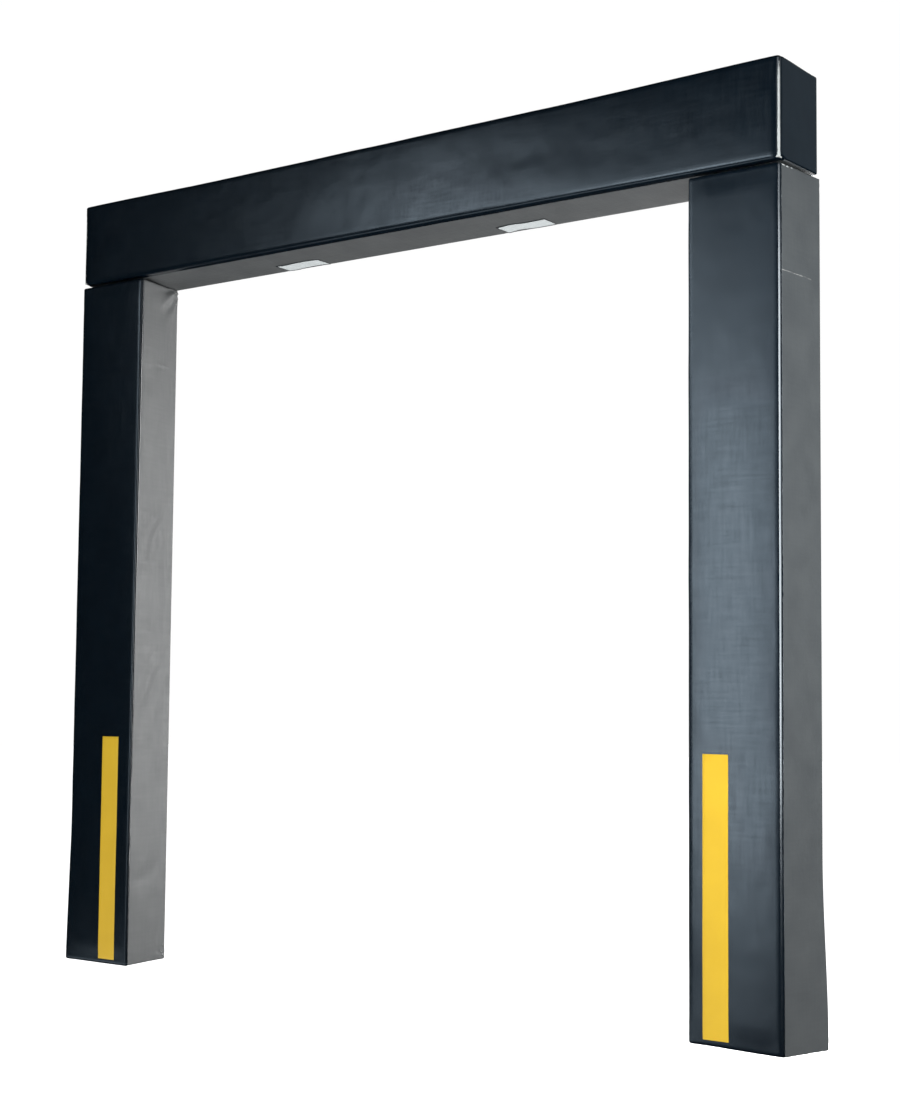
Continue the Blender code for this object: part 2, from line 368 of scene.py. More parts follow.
FOAM = foam_material()
TIMBER_UP = timber_material("timber_upright", (1.0, 1.0, 0.06))
TIMBER_ALONG = timber_material("timber_level", (0.06, 1.0, 1.0))
LEVEL, UPRIGHT = ("rung", "rail"), ("stile", "stud")
for name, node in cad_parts.items():
    if any(word in name for word in LEVEL + UPRIGHT):
        skin = TIMBER_ALONG if any(word in name for word in LEVEL) else TIMBER_UP
        node.data.materials.clear()
        node.data.materials.append(skin)
print("materials:", ", ".join(m.name for m in bpy.data.materials if m.use_nodes))


# %% [markdown]
# ## The sewn cover
# A real cover is one bag: a wear face that returns a little way round the edges, side panels and end
# caps, all sewn together, pulled over the foam and stapled behind the timber. It could be built panel by
# panel, but then every seam would have to be matched by hand. Here the whole bag is one mesh of square
# cells, shaped and settled as one, and only then cut into its panels, so that the seams meet exactly.
#
# The bag starts as a box of grid lines. They are close together where the fabric turns a corner or is
# gathered.

# %% Grid lines of the bag
FRONT_SETBACK = 0.0013  # the bag's front is the foam's front: the wear face's thickness stands on it
DEPTH_EDGE = 0.005  # radius of the edges that run towards the wall
BACK_EDGE = 0.004
RETURN = 0.035  # how far the wear face comes round the edges of the square box
FLANGE = 0.030  # turned in behind the timber
CELL = 0.012
FINE_CELL = 0.007
FINE_ENDS = 0.15  # the stretch at both ends of a pad with small cells, for gathers


def arc_lines(radius, steps=3):
    """Distances from a corner whose lines end up evenly spaced when it is rounded."""
    return [radius * (1 - math.tan(math.pi / 4 * k / steps)) for k in range(steps, -1, -1)]


def even_lines(start, stop, cell):
    """Lines from start to stop, about one cell apart."""
    count = max(1, round(abs(stop - start) / cell))
    return list(np.linspace(start, stop, count + 1))


def joined(*runs):
    """One rising array of the runs' values, without repeats."""
    return np.unique(np.round(np.concatenate(runs), 7))


def across_lines(pad):
    """From the outer side to the opening."""
    outer, inner = arc_lines(pad.outer_edge), arc_lines(pad.inner_edge)
    middle = even_lines(pad.outer_edge, pad.width - pad.inner_edge, CELL)
    return joined(outer, middle, [pad.width - c for c in inner])


def along_lines(pad, extra=()):
    """From end to end, with small cells near both ends."""
    corner = arc_lines(pad.end_edge)
    end = even_lines(pad.end_edge, FINE_ENDS, FINE_CELL)
    middle = even_lines(FINE_ENDS, pad.length - FINE_ENDS, CELL)
    far = [pad.length - c for c in corner + end]
    return joined(corner, end, middle, far, extra)


def depth_lines(pad):
    """From the front to the wall, with close lines at the seam and over the timber."""
    front = -pad.depth + FRONT_SETBACK
    seam = -pad.depth + RETURN
    corner = [front + c for c in arc_lines(pad.front_edge)]
    stitched = [seam + d for d in (-0.010, -0.0055, -0.002, 0.0, 0.002, 0.0055, 0.010)]
    returned = even_lines(front + pad.front_edge, seam - 0.010, 0.006)
    over_foam = even_lines(seam + 0.010, pad.timber_front, CELL)
    over_timber = even_lines(pad.timber_front, -BACK_EDGE, 0.009)
    back = [-c for c in arc_lines(BACK_EDGE, 2)]
    return joined(corner, returned, stitched, over_foam, over_timber, back)


FLANGE_LINES = joined(arc_lines(BACK_EDGE, 2), even_lines(BACK_EDGE, FLANGE, 0.0087))
print("a side pad has", len(across_lines(PADS[0])), "x", len(along_lines(PADS[0])), "lines on its face")

# %% [markdown]
# Nine grids make the box: the face, four sides, and four flanges whose ends are mitred like a picture
# frame. Each grid also knows where its points lie on the flat cut.


# %% The bag's grids
FACE, OUTER, INNER, NEAR, FAR = range(5)


def quads(rows, columns):
    """The four corners of every cell of a grid."""
    i, j = np.meshgrid(np.arange(rows - 1), np.arange(columns - 1), indexing="ij")
    first = (i * columns + j).ravel()
    return np.stack([first, first + 1, first + columns + 1, first + columns], axis=1)


def grid(rows, columns, point_of, cut_of):
    """Points, their places on the cut, and cells."""
    u, v = (x.ravel() for x in np.meshgrid(rows, columns, indexing="ij"))
    zero = np.zeros_like(u)
    points = np.stack([c + zero for c in point_of(u, v)], axis=1)
    cut = np.stack([c + zero for c in cut_of(u, v)], axis=1)
    return points, cut, quads(len(rows), len(columns))


def bag_grids(pad, extra):
    """The nine grids, each with the wall it belongs to."""
    width, length, front = pad.width, pad.length, -pad.depth + FRONT_SETBACK
    across, along = across_lines(pad), along_lines(pad, extra)
    depth, flange = depth_lines(pad), FLANGE_LINES

    def mitred(place, turned, whole):
        """Draws a flange's ends in as it turns in, so that it meets the next one."""
        return turned + place * (whole - 2 * turned) / whole

    return [
        (FACE, grid(across, along, lambda a, l: (a, front, l), lambda a, l: (a, l))),
        (OUTER, grid(depth, along, lambda y, l: (0, y, l), lambda y, l: (front - y, l))),
        (INNER, grid(depth, along, lambda y, l: (width, y, l), lambda y, l: (width + y - front, l))),
        (NEAR, grid(across, depth, lambda a, y: (a, y, 0), lambda a, y: (a, front - y))),
        (FAR, grid(across, depth, lambda a, y: (a, y, length), lambda a, y: (a, length + y - front))),
        (OUTER, grid(flange, along, lambda f, l: (f, 0, mitred(l, f, length)),
                     lambda f, l: (front - f, l))),
        (INNER, grid(flange, along, lambda f, l: (width - f, 0, mitred(l, f, length)),
                     lambda f, l: (width - front + f, l))),
        (NEAR, grid(across, flange, lambda a, f: (mitred(a, f, width), 0, f), lambda a, f: (a, front - f))),
        (FAR, grid(across, flange, lambda a, f: (mitred(a, f, width), 0, length - f),
                   lambda a, f: (a, length - front + f))),
    ]


print("a bag has", len(bag_grids(PADS[0], ())), "grids")

# %% [markdown]
# The grids are joined where they meet. Every cell remembers its panel: in front of the seam it is wear
# face, behind it the wall it lies on. Blender could find the panels from the seams, but here the box
# makes that a comparison.


# %% Build the bag
class Bag:
    """The bag's points on the square box (raw), and its cells with their panels and places on the cut."""

    def __init__(self, pad, end_seam, extra=()):
        self.pad = pad
        self.side_seam = -pad.depth + RETURN
        self.end_seam = end_seam
        points, cells, panels, cuts, start = [], [], [], [], 0
        for panel, (spots, cut, corners) in bag_grids(pad, extra):
            points.append(spots)
            cells.append(corners + start)
            cuts.append(cut[corners])
            middle = spots[corners].mean(axis=1)[:, 1]
            seam = self.end_seam if panel in (NEAR, FAR) else self.side_seam
            panels.append(np.where(middle < seam, FACE, panel))
            start += len(spots)
        points = np.concatenate(points)
        _, first, index = np.unique(np.round(points, 6), axis=0, return_index=True, return_inverse=True)
        self.raw = points[first]
        self.cells = index.reshape(-1)[np.concatenate(cells)]
        self.panels = np.concatenate(panels)
        self.cuts = np.concatenate(cuts)
        self.points = self.raw.copy()
        self.turn_outwards()

    def turn_outwards(self):
        """Turns each cell so that its corners run anticlockwise seen from outside."""
        corner = self.raw[self.cells]
        normal = np.cross(corner[:, 1] - corner[:, 0], corner[:, 2] - corner[:, 0])
        middle = np.array([self.pad.width / 2, -self.pad.depth / 2, self.pad.length / 2])
        inward = (normal * (corner.mean(axis=1) - middle)).sum(axis=1) < 0
        self.cells[inward] = self.cells[inward, ::-1]
        self.cuts[inward] = self.cuts[inward, ::-1]

    def normals(self):
        """Each point's outward direction, from the cells round it."""
        corner = self.points[self.cells]
        flat = np.cross(corner[:, 2] - corner[:, 0], corner[:, 3] - corner[:, 1])
        total = np.zeros_like(self.points)
        for k in range(4):
            np.add.at(total, self.cells[:, k], flat)
        return total / np.maximum(np.linalg.norm(total, axis=1, keepdims=True), 1e-12)

    def on(self, wall):
        """Which points lie on a wall of the square box."""
        a, y, l = self.raw.T
        tests = {
            FACE: y < -self.pad.depth + FRONT_SETBACK + 1e-6,
            OUTER: a < 1e-6,
            INNER: a > self.pad.width - 1e-6,
            NEAR: l < 1e-6,
            FAR: l > self.pad.length - 1e-6,
        }
        return tests[wall]


print("a bag's walls: face, outer side, inner side, near end, far end")

# %% [markdown]
# Rounding moves each point of the square box onto soft edges. A point within a radius of an edge or a
# corner is pushed along the line from the edge's own centre, so that edges become quarter rounds and
# corners become balls.


# %% Round the bag's edges
def smooth(t):
    """From 0 to 1 with soft ends."""
    t = np.clip(t, 0, 1)
    return t * t * (3 - 2 * t)


def round_edges(bag, end_radius=None):
    """end_radius(across) is the radius of the edges between the face and the ends, where it changes."""
    pad = bag.pad
    a, y, l = bag.raw.T
    front = -pad.depth + FRONT_SETBACK
    inward = smooth((y - front - pad.front_edge) / 0.03)
    side = np.where(a < pad.width / 2, pad.outer_edge, pad.inner_edge)
    side = side + (DEPTH_EDGE - side) * inward
    end = pad.end_edge + 0 * a if end_radius is None else end_radius(a)
    end = end + (DEPTH_EDGE - end) * inward
    deep = np.where(y < -pad.depth / 2, pad.front_edge, BACK_EDGE)
    radius = np.stack([side, deep, end], axis=1)
    low = np.stack([side, np.full_like(a, front + pad.front_edge), end], axis=1)
    high = np.stack([pad.width - side, np.full_like(a, -BACK_EDGE), pad.length - end], axis=1)
    centre = np.clip(bag.raw, low, high)
    out = (bag.raw - centre) / radius
    size = np.linalg.norm(out, axis=1)
    largest = np.abs(out).max(axis=1)
    scale = np.where(size > 1e-9, largest / np.maximum(size, 1e-9), 1.0)
    bag.points = centre + out * scale[:, None] * radius


def move_seam(bag, outer, inner):
    """Slides the side seams to their own distances from the front; inner may change along the pad."""
    pad = bag.pad
    a, y, l = bag.raw.T
    share = np.clip(a / pad.width, 0, 1)
    target = -pad.depth + outer + (inner(l) - outer) * share
    fixed = -pad.depth + FRONT_SETBACK + pad.front_edge
    before = fixed + (y - fixed) * (target - fixed) / (bag.side_seam - fixed)
    after = target + (y - bag.side_seam) * (pad.timber_front - target) / (pad.timber_front - bag.side_seam)
    moved = np.where(y < bag.side_seam, before, after)
    bag.points[:, 1] += np.where((y > fixed) & (y < pad.timber_front), moved - y, 0)


def taper(bag):
    """Draws in the inner side towards the wall, as the pad is narrower there."""
    pad = bag.pad
    share = (pad.back_width / pad.width - 1) * (bag.points[:, 1] + pad.depth) / pad.depth
    bag.points[:, 0] *= 1 + share


print("side pad radii, front, outer, inner, ends:", SIDE_EDGES)

# %% [markdown]
# ## Folds, crowns and puckers
# Stretched vinyl is never flat. It crowns over the foam, dips at each row of stitches, and where it was
# pulled to the staples it leaves long slanting folds and small gathers at the corners. Each of these is a
# short function that gives a height over the flat fabric. Adding them up before the cloth settles tells
# it where to fold.


# %% Folds and gathers
def wander(points, scale, seed):
    """Smooth random values from -1 to 1, the same each run."""
    shift = Vector((seed * 7.3, seed * 3.1, seed * 5.7))
    return np.array([noise.noise(Vector(p) * scale + shift) for p in points])


def foam_span(bag):
    """0 at the seam and over the timber, 1 half way between: where only foam backs the fabric."""
    y = bag.raw[:, 1]
    share = (y - bag.side_seam) / (bag.pad.timber_front - bag.side_seam)
    return np.sin(np.pi * np.clip(share, 0, 1))


def slanting_folds(bag, wall, height, spacing, slant, seed):
    """Long soft uneven waves that run down from the staples to the seam."""
    a, y, l = bag.raw.T
    drift = wander(np.stack([a * 0, y * 1.2, l], axis=1), 3.1, seed)
    strength = 0.40 + 1.5 * wander(np.stack([a * 0, y * 2.5, l], axis=1), 2.3, seed + 3)
    phase = np.pi * ((l - slant * y) / spacing + 1.3 * drift)
    waves = np.sin(2 * phase) + 0.35 * np.sin(3.3 * phase + 1.0)
    ends = smooth((bag.pad.length - 0.22 - l) / 0.25) * smooth(l / 0.35)
    return bag.on(wall) * height * foam_span(bag) ** 0.8 * np.clip(strength, 0.05, 1.2) * waves * ends


def gathers(bag, wall, corner, height, reach, folds, seed):
    """Small folds that fan out from a staple at corner = (y, along)."""
    y, l = bag.raw[:, 1] - corner[0], bag.raw[:, 2] - corner[1]
    distance = np.hypot(y, l)
    angle = np.arctan2(l, y)
    fan = np.cos(folds * angle + seed) + 0.4 * np.cos(2.3 * folds * angle + 2 * seed)
    fade = np.exp(-distance / reach) * smooth(distance / 0.018)
    return bag.on(wall) * height * fan * fade


def drag_fold(bag, wall, start, stop, height, width):
    """One longer fold from start to stop, both (y, along): a ridge with a valley on its lower side."""
    place = bag.raw[:, 1:] - np.array(start)
    line = np.array(stop) - np.array(start)
    span = np.linalg.norm(line)
    line = line / span
    run, off = place @ line, place @ np.array([-line[1], line[0]])
    wide = width * (0.5 + np.clip(run / span, 0, 1))
    clear_of_timber = smooth((-0.044 - bag.raw[:, 1]) / 0.014)
    valley = np.exp(-(((off - 1.7 * wide) / (0.7 * wide)) ** 2)) * clear_of_timber
    ridge = np.exp(-((off / wide) ** 2)) - 0.8 * valley
    fade = smooth(run / 0.02) * (1 - smooth(run / span))
    return bag.on(wall) * height * ridge * fade


print("fold helpers ready")

# %% [markdown]
# A row of stitches presses a narrow groove and ripples the fabric at each pull of the thread. Elsewhere
# the fabric only shows that the foam under it isn't quite flat, and that a stretched face stands out in
# its middle.


# %% Seams, crown and unevenness
def seam_pucker(bag, seam, walls, groove, ripple, seed):
    """A dip along a row of stitches, with the small ripples of thread pulled tight."""
    a, y, l = bag.raw.T
    run = np.where(bag.on(OUTER) | bag.on(INNER), l, a)
    off = y - seam
    phase = 2 * np.pi * run / 0.023 + 3 * wander(np.stack([run, a * 0, l * 0], axis=1), 14.0, seed)
    dip = -groove * np.exp(-((off / 0.0035) ** 2))
    waves = ripple * np.sin(phase) * np.exp(-np.abs(off) / 0.011)
    here = np.zeros(len(a), bool)
    for wall in walls:
        here |= bag.on(wall)
    return here * (dip + waves)


def crown(bag, height):
    """The wear face stands out a little in the middle of its width."""
    a, _, l = bag.raw.T
    wide = 1 - np.abs(2 * a / bag.pad.width - 1) ** 3
    long = smooth(np.minimum(l, bag.pad.length - l) / 0.08)
    return bag.on(FACE) * height * wide * long


def unevenness(bag, height, seed):
    """Slow swells of foam that isn't quite flat, everywhere but over the timber."""
    y = bag.raw[:, 1]
    clear = smooth((bag.pad.timber_front - y) / 0.03)
    slow = wander(bag.raw * np.array([1.0, 1.0, 0.55]), 9.0, seed)
    quick = wander(bag.raw * np.array([1.0, 1.0, 0.7]), 26.0, seed + 5)
    return height * clear * (slow + 0.3 * quick)


print("surface helpers ready")

# %% [markdown]
# ## Settling the cloth
# The shaped bag is given to Blender's cloth solver for a short while. The side panels are cut a little
# full (a negative shrink), all that is sewn, stapled or glued to the foam's front is held, and a light
# pressure stands in for the foam behind. The solver turns the drawn heights into folds that keep the
# fabric's length. How far a point may move is limited, because the foam would not let it sink in or
# balloon out.

# %% Cloth settling
SETTLE_FRAMES = 14
SETTLE_LIMIT = 0.0025
FULLNESS = 0.008  # extra fabric in the side panels, as a share
FOAM_PRESSURE = 0.10


def settle(bag, fullness, pressure):
    """Runs the cloth solver on the bag's points and keeps what it did, within SETTLE_LIMIT."""
    pad = bag.pad
    mesh = bpy.data.meshes.new("settling")
    mesh.from_pydata(pad.to_room(bag.points).tolist(), [], bag.cells.tolist())
    if np.linalg.det(pad.basis) < 0:
        mesh.flip_normals()
    cloth_object = bpy.data.objects.new("settling", mesh)
    bpy.context.scene.collection.objects.link(cloth_object)
    y = bag.raw[:, 1]
    held = cloth_object.vertex_groups.new(name="held")
    full = cloth_object.vertex_groups.new(name="full")
    sides = (bag.on(OUTER) | bag.on(INNER)) & ~bag.on(NEAR) & ~bag.on(FAR)
    soft = sides & (y > bag.side_seam + 0.001) & (y < pad.timber_front - 0.001)
    held.add(np.nonzero(~soft)[0].tolist(), 1.0, "REPLACE")
    full.add(np.nonzero(soft)[0].tolist(), 1.0, "REPLACE")
    cloth = cloth_object.modifiers.new("cloth", "CLOTH")
    settings = cloth.settings
    settings.quality = 4
    settings.mass = 0.15
    settings.tension_stiffness = settings.compression_stiffness = 30
    settings.shear_stiffness = 12
    settings.bending_stiffness = 6
    settings.air_damping = 6
    settings.vertex_group_mass = "held"
    settings.vertex_group_shrink = "full"
    settings.shrink_min = 0.0
    settings.shrink_max = -fullness
    settings.use_pressure = True
    settings.uniform_pressure_force = pressure
    settings.effector_weights.gravity = 0.02
    cloth.collision_settings.use_collision = False
    cloth.point_cache.frame_end = SETTLE_FRAMES
    scene = bpy.context.scene
    for number in range(1, SETTLE_FRAMES + 1):
        scene.frame_set(number)
    graph = bpy.context.evaluated_depsgraph_get()
    settled = cloth_object.evaluated_get(graph).to_mesh()
    after = np.array([v.co for v in settled.vertices])
    cloth_object.evaluated_get(graph).to_mesh_clear()
    bpy.data.objects.remove(cloth_object)
    scene.frame_set(1)
    moved = (after - np.array(pad.origin)) @ pad.basis.T - bag.points
    distance = np.linalg.norm(moved, axis=1, keepdims=True)
    bag.points += moved * np.minimum(1.0, SETTLE_LIMIT / np.maximum(distance, 1e-9))
    mean, most = 1000 * distance.mean(), 1000 * distance.max()
    print(f"{pad.name}: cloth moved {mean:.1f} mm on average, {most:.1f} at most")


print("frames:", SETTLE_FRAMES)

# %% [markdown]
# ## The three bags
# The two side pads are alike but each has its own folds. The face of a side pad comes a little way round
# every edge. On the head pad the ends are seamed right on the corner, where the fabric swells into a roll
# that grows downwards.


# %% Side pads
CREASE_LINES = (-0.008, -0.004, 0.0, 0.004, 0.008)  # close lines about the fold mark
STAPLE_Y = -0.018  # of the staples that gather the sides
END_STAPLE = 0.012  # their distance from a pad's end
FOOT_HEIGHT = 0.55
FOOT_SPREAD = 0.017  # of both side pads' outer sides, at the wall
OUTER_SEAM = 0.0100  # how far the side seams lie behind the front
INNER_SEAM = (0.0085, 0.0160)  # the same, at the foot and at the top


def shape(bag, heights, end_radius=None, seams=None):
    """Rounds the edges, places the seams, adds the heights and tapers."""
    round_edges(bag, end_radius)
    if seams is not None:
        move_seam(bag, *seams)
    out = bag.normals()
    bag.points += out * sum(heights)[:, None]
    taper(bag)


def spread_foot(bag, wide, inner_front, front_foot, low):
    """A pad that has stood on its end spreads at the foot, and its loose cover hangs a little.

    wide is how far the outer side stands out at the wall, inner_front how far the inner side stands into
    the opening at the face, front_foot the spread of the face's foot, and low how far the outer side
    hangs."""
    pad = bag.pad
    a, y, l = bag.raw.T
    outwards = 1 - smooth(a / pad.width)
    inwards = smooth(a / pad.width) * smooth(-y / pad.depth)
    depth_share = 1 + y / pad.depth
    foot = smooth((FOOT_HEIGHT - l) / FOOT_HEIGHT)
    front_out = front_foot * foot * (1 - depth_share)
    back_out = (FOOT_SPREAD * foot + wide) * depth_share
    bag.points[:, 0] -= outwards * (front_out + back_out)
    bag.points[:, 0] += inwards * inner_front * (0.75 + 0.25 * smooth(l / 2.2))
    bag.points[:, 2] -= outwards * (0.35 + 0.65 * depth_share) * low * smooth((0.30 - l) / 0.30)


def side_bag(pad, seed):
    """A side pad's cover. Its top inner corner was pulled hard, and shows two longer folds."""
    top = pad.length
    crease = top - CREASE_DROP
    bag = Bag(pad, -pad.depth + RETURN, [crease + d for d in CREASE_LINES])
    upper, lower = (STAPLE_Y, top - END_STAPLE), (STAPLE_Y, END_STAPLE)
    y, l = bag.raw[:, 1], bag.raw[:, 2]
    across_side = smooth((y + pad.depth - 0.02) / 0.02) * smooth((-0.05 - y) / 0.05)
    fold_mark = 0.0008 * np.exp(-(((l - crease) / 0.0035) ** 2)) * across_side
    heights = [
        crown(bag, 0.0022),
        unevenness(bag, 0.0008, seed),
        seam_pucker(bag, bag.side_seam, (OUTER, INNER, NEAR, FAR), 0.0002, 0.00018, seed),
        slanting_folds(bag, INNER, 0.0030, 0.300, 1.1, seed),
        slanting_folds(bag, OUTER, 0.0008, 0.260, -0.5, seed + 2),
        gathers(bag, INNER, upper, 0.0040, 0.045, 7, 0.4),
        drag_fold(bag, INNER, (STAPLE_Y, top - 0.006), (-0.122, top - 0.106), 0.0130, 0.016),
        drag_fold(bag, INNER, (STAPLE_Y + 0.004, top - 0.030), (-0.042, top - 0.150), 0.0060, 0.010),
        gathers(bag, INNER, lower, 0.0022, 0.028, 6, 1.4),
        gathers(bag, OUTER, upper, 0.0010, 0.022, 6, 2.1),
        gathers(bag, OUTER, lower, 0.0010, 0.025, 6, 0.9),
        bag.on(OUTER) * fold_mark,
    ]
    at_foot, at_top = INNER_SEAM
    seams = (OUTER_SEAM, lambda along: at_foot + (at_top - at_foot) * smooth(along / top))
    shape(bag, heights, seams=seams)
    if pad.name == "left":
        spread_foot(bag, wide=0.008, inner_front=0.026, front_foot=0.014, low=0.0)
    else:
        spread_foot(bag, wide=0.008, inner_front=0.009, front_foot=0.0, low=0.016)
    return bag


BAGS = {"left": side_bag(PADS[0], 1), "right": side_bag(PADS[1], 11)}
print("side pads' bags:", [len(bag.points) for bag in BAGS.values()], "points")

# %% [markdown]
# The head pad lies on its side and hangs from its timber, so its underside sags a few millimetres towards
# the wall and the face's top edge lifts a little towards the ends. Small gathers run from the corners of
# the vents.

# %% Head pad, and settle all three
CORNER_SEAM = PADS[2].front_edge * (1 - math.tan(math.pi / 6))  # a grid line on the rounded corner
END_RADII = (0.016, 0.030)  # of the head pad's front end corners: at its top edge, and ROLL_DROP below
ROLL_DROP = 0.09
SAG = 0.013  # of the underside at the wall
LIFT = 0.007  # of the face's top edge at both ends
VENT_NODES = ("head_left_vent", "head_right_vent")


def vent_corners(pad):
    """The corners of the vent patches, as (y, along)."""
    found = []
    for node in VENT_NODES:
        low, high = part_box(node)
        ends = [pad.along.dot(c - pad.origin) for c in (low, high)]
        found += [(y, l) for y in (low.y, high.y) for l in ends]
    return found


def head_bag(pad, seed):
    """The head pad's cover, with seams on its end corners."""
    bag = Bag(pad, -pad.depth + FRONT_SETBACK + CORNER_SEAM)
    a, y, l = bag.raw.T
    heights = [
        crown(bag, 0.0016),
        unevenness(bag, 0.0009, seed),
        seam_pucker(bag, bag.side_seam, (OUTER, INNER), 0.0007, 0.00035, seed),
        seam_pucker(bag, bag.end_seam, (NEAR, FAR), 0.0016, 0.0005, seed + 1),
        slanting_folds(bag, INNER, 0.0010, 0.210, 0.7, seed),
        slanting_folds(bag, OUTER, 0.0008, 0.230, 0.4, seed + 2),
    ]
    heights += [gathers(bag, INNER, corner, 0.0007, 0.018, 5, 0.7) for corner in vent_corners(pad)]
    for wall in (OUTER, INNER):
        for end in (END_STAPLE, pad.length - END_STAPLE):
            heights.append(gathers(bag, wall, (STAPLE_Y, end), 0.0009, 0.022, 6, 0.5))
    at_top, below = END_RADII
    shape(bag, heights, lambda across: at_top + (below - at_top) * smooth(across / ROLL_DROP))
    lower, upper = smooth(a / pad.width), 1 - smooth(a / pad.width)
    from_end = np.minimum(l, pad.length - l)
    sag = SAG * smooth((y + pad.depth) / pad.depth) * smooth(from_end / 0.25)
    raised = LIFT * smooth(1 - from_end / 0.8) * smooth(-y / pad.depth)
    bag.points[:, 0] += lower * sag - upper * raised
    return bag


BAGS["head"] = head_bag(PADS[2], 21)
for bag in BAGS.values():
    settle(bag, FULLNESS, FOAM_PRESSURE)
for name, bag in BAGS.items():
    print(name, "bag:", len(bag.points), "points")

# %% [markdown]
# ## Cutting the bag into panels
# Each panel becomes its own piece with its fabric's thickness. The wear face is laid on the outside of
# the bag and the other panels on the inside, so at every seam the wear face laps over its neighbour, as
# sewn work does.

# %% Panels
FABRIC = 0.0012


def in_bodies(piece):
    """Bakes the piece's placement into its mesh."""
    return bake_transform(piece)


def mesh_object(name, points, faces, skin, uvs=None):
    """A smooth mesh in the scene, with its place on the cut as a UV map."""
    mesh = bpy.data.meshes.new(name)
    mesh.from_pydata(points.tolist(), [], faces.tolist())
    if uvs is not None:
        layer = mesh.uv_layers.new(name="cut")
        layer.data.foreach_set("uv", uvs.astype(np.float32).ravel())
    mesh.shade_smooth()
    mesh.materials.append(skin)
    made = bpy.data.objects.new(name, mesh)
    bpy.context.scene.collection.objects.link(made)
    return made


def panel_piece(bag, panel, name, skin, outwards):
    """The cells of one panel as a sheet of fabric, on the outside or the inside of the bag."""
    chosen = bag.panels == panel
    used, cells = np.unique(bag.cells[chosen], return_inverse=True)
    cells, cuts = cells.reshape(-1, 4), bag.cuts[chosen]
    if np.linalg.det(bag.pad.basis) < 0:
        cells, cuts = cells[:, ::-1], cuts[:, ::-1]
    piece = mesh_object(name, bag.pad.to_room(bag.points[used]), cells, skin, cuts)
    solid = piece.modifiers.new("fabric", "SOLIDIFY")
    solid.thickness = FABRIC
    solid.offset = 1.0 if outwards else -1.0
    return piece


def declare_sheet(piece, bag, panel):
    """Says how big the flat cut was: the box round the panel's cells, and their area in it."""
    cuts = bag.cuts[bag.panels == panel]
    size = cuts.reshape(-1, 2).max(axis=0) - cuts.reshape(-1, 2).min(axis=0)
    one, two = cuts[:, 2] - cuts[:, 0], cuts[:, 3] - cuts[:, 1]
    area = np.abs(one[:, 0] * two[:, 1] - one[:, 1] * two[:, 0]).sum() / 2
    area = min(float(area), float(size[0] * size[1]))
    print(f"{piece.name}: cut {size[0]:.3f} x {size[1]:.3f} m, {area:.3f} m2")


WEAR_FACES = {}
for pad in PADS:
    bag = BAGS[pad.name]
    wear = panel_piece(bag, FACE, f"{pad.name}_wear_fabric", WEAR, True)
    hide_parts(f"{pad.name}_wear_face")
    in_bodies(wear)
    declare_sheet(wear, bag, FACE)
    WEAR_FACES[pad.name] = wear
    end_skin, end_slot = (WEAR, "wear_fabric") if pad.name == "head" else (SIDE, "side_fabric")
    # the right pad's outer side carries the fold's painted highlight
    outer_skin = SIDE_PAINTED_CREASE if pad.name == "right" else SIDE
    panels = [
        (OUTER, pad.sides[0], outer_skin, "side_fabric"),
        (INNER, pad.sides[1], SIDE, "side_fabric"),
        (NEAR, pad.ends[0], end_skin, end_slot),
        (FAR, pad.ends[1], end_skin, end_slot),
    ]
    for panel, label, skin, slot in panels:
        piece = panel_piece(bag, panel, f"{pad.name}_{label}_fabric", skin, False)
        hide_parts(f"{pad.name}_{label}")
        in_bodies(piece)
        declare_sheet(piece, bag, panel)

# %% [markdown]
# ## Foam slabs
# Two slabs of foam fill each cover. From behind, the back slab shows between the timbers, where it swells
# a little into each bay. The slabs are closed boxes of cells with rounded edges, kept just inside the
# covers.


# %% Boxes of cells
def box_mesh(lines):
    """A closed box of cells from three sets of lines, as points and cells."""
    points, cells, start = [], [], 0
    for axis in range(3):
        u, v = [k for k in range(3) if k != axis]
        for side in (0, -1):
            one, two = np.meshgrid(lines[u], lines[v], indexing="ij")
            spots = np.zeros((one.size, 3))
            spots[:, u], spots[:, v], spots[:, axis] = one.ravel(), two.ravel(), lines[axis][side]
            corners = quads(len(lines[u]), len(lines[v]))
            outward = (side == -1) == (axis != 1)
            cells.append((corners[:, ::-1] if outward else corners) + start)
            points.append(spots)
            start += len(spots)
    points = np.concatenate(points)
    _, first, index = np.unique(np.round(points, 6), axis=0, return_index=True, return_inverse=True)
    return points[first], index.reshape(-1)[np.concatenate(cells)]


print("a box of 2 x 2 x 2 cells has", len(box_mesh([np.arange(3.0)] * 3)[1]), "faces")

# %% [markdown]
# Foam presses into every opening it finds. Between the rungs and studs nothing holds the back slab, so it
# stands out a few millimetres there, most in the middle of each bay.


# %% Foam slabs
FOAM_INSET = 0.0035
FACE_INSET = 0.0025  # of the front slab from the wear face
FOAM_CELL = 0.024
FOAM_SWELL = 0.004
SAW_MARK = 0.0006
TIMBER_WIDTH = 0.089


def bays(pad):
    """The openings of the timber ladder, as (low, high) along the pad, between the cross pieces."""
    word = "stud" if pad.name == "head" else "rung"
    found = []
    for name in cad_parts:
        if name.startswith(f"{pad.name}_{word}"):
            found.append(sorted(pad.along.dot(c - pad.origin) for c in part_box(name)))
    found.sort()
    return [(one[1], two[0]) for one, two in zip(found, found[1:])]


